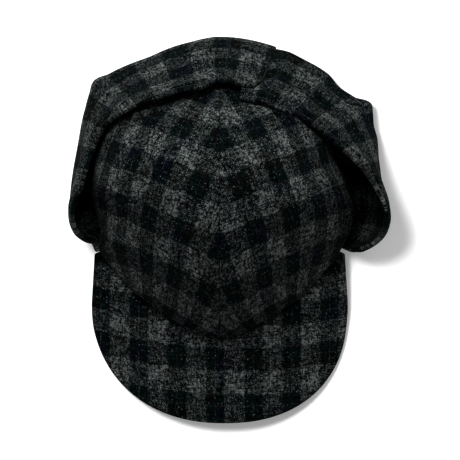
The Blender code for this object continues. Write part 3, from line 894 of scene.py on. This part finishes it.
def makeFlap(name, left, seed, plaidAcross, plaidTurn, creases):
    start = flaps["leftStart"] if left else flaps["rightStart"]
    end = 180.0 + flaps["strapLap"] if left else flaps["rightEnd"]
    turns = start + (end - start) * shares(round((end - start) / flaps["step"]), *flaps["columnEnds"])
    inset = flaps["stitchInset"]
    edgeRows = np.array(flaps["edgeRows"]) * mm
    lowerRows = shares(*flaps["rows"])[:-1]
    points = np.zeros((len(lowerRows) + len(edgeRows), len(turns), 3))
    rim, fromTop, fromFold = (np.zeros(points.shape[:2]) for _ in range(3))
    for c, turn in enumerate(turns):
        side, angle, path, floorRun, drop = flapSection(turn, left)
        total = lengthOf(path)
        top = total - edgeRows[::-1]
        at = np.concatenate((top[0] * lowerRows, top))
        for r, (radius, height) in enumerate(along(path, at)):
            points[r, c] = place(side, angle, radius, height)
        fromTop[:, c] = total - at + drop / flaps["strapSlope"]
        fromFold[:, c] = at - floorRun
        rim[:, c] = np.minimum(at, total - at)
    middle = points[points.shape[0] * 2 // 3]
    stretch = np.zeros(len(turns))
    stretch[1:] = np.cumsum(np.linalg.norm(np.diff(middle, axis=0), axis=1))
    fromStart, fromEnd = stretch, stretch[-1] - stretch
    if left:
        # the strap's rounded corner
        corner = flaps["strapRounding"]
        a, h = fromEnd, fromTop * flaps["strapSlope"]
        cornerRim = np.maximum(corner - np.hypot(corner - a, corner - h), 0.0)
        rim = np.where((a < corner) & (h < corner), np.minimum(rim, cornerRim), rim)
    taper = flaps["strapTaper"] if left else 1.0
    edge = np.minimum(rim, np.minimum(fromStart, fromEnd * taper))
    edge[[0, -1]] = edge[:, [0, -1]] = 0.0
    ahead = (stretch - np.interp(plaidTurn, turns, stretch)) * flaps["plaidStretch"]
    uv = np.stack((fromFold - plaidAcross * mm, np.broadcast_to(ahead, fromFold.shape)), axis=-1)
    normal = unit(np.cross(*np.gradient(points, axis=(0, 1))), 1e-12) * (1 if left else -1)
    inside = np.clip(edge / flaps["edgeRest"], 0.0, 1.0)
    lift = flaps["unevenness"] * ripple(points, flaps["waves"], seed) * inside
    lift -= flaps["stitchDip"] * np.exp(-((fromTop - inset) / flaps["stitchDipWidth"]) ** 2)
    lift -= flaps["edgeSeamDip"] * np.exp(-((fromTop - flaps["edgeSeam"]) / flaps["edgeSeamWidth"]) ** 2)
    roll = np.exp(-((fromTop - flaps["rollInset"]) / flaps["rollWidth"]) ** 2) * inside
    lift += flaps["rollHeight"] * roll * (1.0 + flaps["rollChange"] * ripple(points, *flaps["rollWaves"]))
    for crease in creases:
        lift += creaseLift(crease, turns, fromTop) * inside
    points = points + normal * lift[..., None]
    # the inner faces past innerFrom take the darkened wool, painted shade for the pockets
    piece = clothShell(name, points, uv, edge, flaps["wall"], flaps["edgeRound"], left,
                       [flapWool, shadedInnerWool], flaps["innerFrom"])
    # the line of the stitches: along the free edge, then down the strap's end
    stitchRow = len(points) - 1 - flaps["stitchRow"]
    surface = points + normal * flaps["stitchProud"] + centre
    first = int(np.searchsorted(fromStart, inset))
    if left:
        last = int(np.searchsorted(-fromEnd, -inset))
        lower = range(stitchRow - 1, 0, -1)
        down = [surface[r, last] for r in lower if fromTop[r, last] < flaps["stitchDown"]]
    else:
        last = int(np.searchsorted(turns, 180.0 - flaps["strapLap"] + flaps["stitchUnder"]))
        down = []
    line = [surface[stitchRow, c] for c in range(first, last + 1)] + down
    return piece, line


creaseForm = {
    "degree": 1.75 * mm,      # one degree round the band
    "fadeRun": 0.35,          # of a crease's length
    "atEnds": 0.25,           # how far it has grown there
}


def creaseLift(crease, turn, fromTop):
    # A ridge, or a valley if its height is negative, between two spots on the band.
    turnA, topA, turnB, topB, width, height = crease
    scale = creaseForm["degree"]
    ax, ay, bx, by = turnA * scale, topA * mm, turnB * scale, topB * mm
    dx, dy = bx - ax, by - ay
    length = math.hypot(dx, dy)
    x, y = turn * scale - ax, fromTop - ay
    t = (x * dx + y * dy) / length
    off = (x * dy - y * dx) / length
    fade = np.minimum(t, length - t) / (creaseForm["fadeRun"] * length) + creaseForm["atEnds"]
    return height * mm * eased(np.clip(fade, 0.0, 1.0)) * np.exp(-(off / (width * mm)) ** 2)


# turn, mm below the edge, turn, mm below the edge, width mm, height mm
leftCreases = (
    (112, 10, 134, 60, 6, 1.1),
    (122, 8, 139, 55, 5, -1.2),
    (96, 14, 118, 40, 5, -0.9),
)
rightCreases = (
    (156, 26, 112, 13, 6, 1.5),
    (150, 36, 106, 21, 5, -1.6),
    (140, 48, 104, 32, 6, 1.3),
    (112, 46, 92, 28, 5, -1.0),
)

earflapLeft, leftLine = makeFlap("earflapLeft", left=True, seed=5, plaidAcross=25.3,
                                 plaidTurn=183.0, creases=leftCreases)
earflapRight, rightLine = makeFlap("earflapRight", left=False, seed=6, plaidAcross=48.0,
                                   plaidTurn=153.0, creases=rightCreases)
for piece, node in ((earflapLeft, "earflap_left"), (earflapRight, "earflap_right")):
    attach(piece, "root")
    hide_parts(node)
print("earflaps made")


# Topstitches along the free edges

stitches = {
    "Pitch": 2.5 * mm,
    "Length": 2.0 * mm,
    "Thickness": 0.45 * mm,
    "Unevenness": 0.12,       # radians, how far a stitch may lie askew
    "Seed": 7,
}


def makeStitchNodes():
    # Short rounded stitches at even steps along a line of edges.
    group = bpy.data.node_groups.new("topstitches", "GeometryNodeTree")
    kinds = {"Line": "Geometry", **dict.fromkeys(stitches, "Float"), "Seed": "Int", "Thread": "Material"}
    for name, kind in kinds.items():
        group.interface.new_socket(name, in_out="INPUT", socket_type="NodeSocket" + kind)
    group.interface.new_socket("Stitches", in_out="OUTPUT", socket_type="NodeSocketGeometry")
    given = group.nodes.new("NodeGroupInput").outputs
    curve = add(group, "GeometryNodeMeshToCurve", {"Mesh": given["Line"]})
    steps = add(group, "GeometryNodeResampleCurve", {
        "mode": "LENGTH", "Curve": curve, "Length": given["Pitch"]})
    grain = add(group, "GeometryNodeMeshUVSphere", {"Segments": 8, "Rings": 6, "Radius": 0.5})
    size = add(group, "ShaderNodeCombineXYZ", {
        "X": given["Length"], "Y": given["Thickness"], "Z": given["Thickness"]})
    grain = add(group, "GeometryNodeTransform", {"Geometry": grain, "Scale": size})
    tangent = add(group, "GeometryNodeInputTangent")
    ahead = add(group, "FunctionNodeAlignRotationToVector", {"axis": "X", "Vector": tangent})
    most = add(group, "ShaderNodeCombineXYZ", {"Y": given["Unevenness"], "Z": given["Unevenness"]})
    least = add(group, "ShaderNodeVectorMath", {"operation": "SCALE", 0: most, "Scale": -1.0})
    askew = add(group, "FunctionNodeRandomValue", {
        "data_type": "FLOAT_VECTOR", "Min": least, "Max": most, "Seed": given["Seed"]})
    askew = add(group, "FunctionNodeEulerToRotation", {"Euler": askew})
    turned = add(group, "FunctionNodeRotateRotation", {
        "rotation_space": "LOCAL", "Rotation": ahead, "Rotate By": askew})
    row = add(group, "GeometryNodeInstanceOnPoints", {
        "Points": steps, "Instance": grain, "Rotation": turned})
    solid = add(group, "GeometryNodeRealizeInstances", {"Geometry": row})
    sewn = add(group, "GeometryNodeSetMaterial", {"Geometry": solid, "Material": given["Thread"]})
    result = group.nodes.new("NodeGroupOutput")
    group.links.new(sewn, result.inputs["Stitches"])
    return group


def makeStitches(name, line, group):
    rail = bpy.data.meshes.new(name + "Line")
    rail.from_pydata([tuple(spot) for spot in line], [(k, k + 1) for k in range(len(line) - 1)], [])
    piece = addObject(name, rail)
    sewing = piece.modifiers.new("sewing", "NODES")
    sewing.node_group = group
    values = dict(stitches, Thread=thread)
    for item in group.interface.items_tree:
        if item.in_out == "INPUT" and item.name in values:
            sewing[item.identifier] = values[item.name]
    shapes = bpy.context.evaluated_depsgraph_get()
    sewn = bpy.data.meshes.new_from_object(piece.evaluated_get(shapes))
    piece.modifiers.remove(sewing)
    piece.data = sewn
    bpy.data.meshes.remove(rail)
    sewn.shade_smooth()
    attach(piece, "root")
    return piece


stitchNodes = makeStitchNodes()
leftStitches = makeStitches("leftTopstitches", leftLine, stitchNodes)
rightStitches = makeStitches("rightTopstitches", rightLine, stitchNodes)
print("topstitches made")


# Floor, light and camera

studio = {
    "floor": "#f4f4f4",
    "cameraHeight": 2.40,
    "pixel": 0.717 * mm,      # on a plane this far above the floor
    "plane": 0.020,
    "pictureMiddle": (0.00737, -0.02769),   # from the crown's middle
    "picture": 460,
    "floorWidth": 6.0,
    "floorDrop": 0.0004,
    "floorGlow": 0.20,        # keeps the shadow pale
    # Power, size and place. The photo's shadow doesn't follow the light on the cloth, so the key
    # light leaves the floor out, and the floor's own light falls on nothing else.
    "keyLight": (23.0, 0.60, (-0.19, 0.87, 1.12)),
    "floorLight": (23.0, 0.38, (-0.40, 0.40, 1.30)),
    "sideLight": (3.0, 0.60, (0.72, 0.90, 0.80)),   # opens up the right flap
    "worldLight": 0.36,
    "gamma": 0.8,             # the photo's blacks are deep
}


def makeStudio():
    bpy.ops.mesh.primitive_plane_add(size=studio["floorWidth"], location=(0, 0, -studio["floorDrop"]))
    floor = bpy.context.object
    floor.name = "floor"
    paper, _, shader = newMaterial("paperSweep")
    fill(shader, {"Base Color": linear(studio["floor"]), "Roughness": 0.9, "Specular IOR Level": 0.2,
                  "Emission Color": (1, 1, 1, 1), "Emission Strength": studio["floorGlow"]})
    floor.data.materials.append(paper)
    onFloor = bpy.data.collections.new("floorOnly")
    onFloor.objects.link(floor)
    offFloor = bpy.data.collections.new("allButFloor")
    offFloor.objects.link(floor)
    offFloor.collection_objects[0].light_linking.link_state = "EXCLUDE"
    for name, lit in (("keyLight", offFloor), ("floorLight", onFloor), ("sideLight", None)):
        light = bpy.data.lights.new(name, "AREA")
        lamp = addObject(name, light)
        light.energy, light.size, lamp.location = studio[name]
        lamp.light_linking.receiver_collection = lit
        lamp.rotation_mode = "QUATERNION"
        lamp.rotation_quaternion = (-lamp.location).to_track_quat("-Z", "Y")
    world = bpy.data.worlds.new("studioWorld")
    world.use_nodes = True
    fill(world.node_tree.nodes["Background"], {"Color": (1, 1, 1, 1), "Strength": studio["worldLight"]})
    scene.world = world
    lens = bpy.data.cameras.new("camera")
    lens.sensor_width = 36.0
    width = studio["pixel"] * studio["picture"]
    lens.lens = lens.sensor_width * (studio["cameraHeight"] - studio["plane"]) / width
    camera = addObject("camera", lens)
    camera.location = centre + (*studio["pictureMiddle"], studio["cameraHeight"])
    scene.camera = camera
    scene.view_settings.view_transform = "Standard"
    scene.view_settings.gamma = studio["gamma"]


makeStudio()
print("studio made")
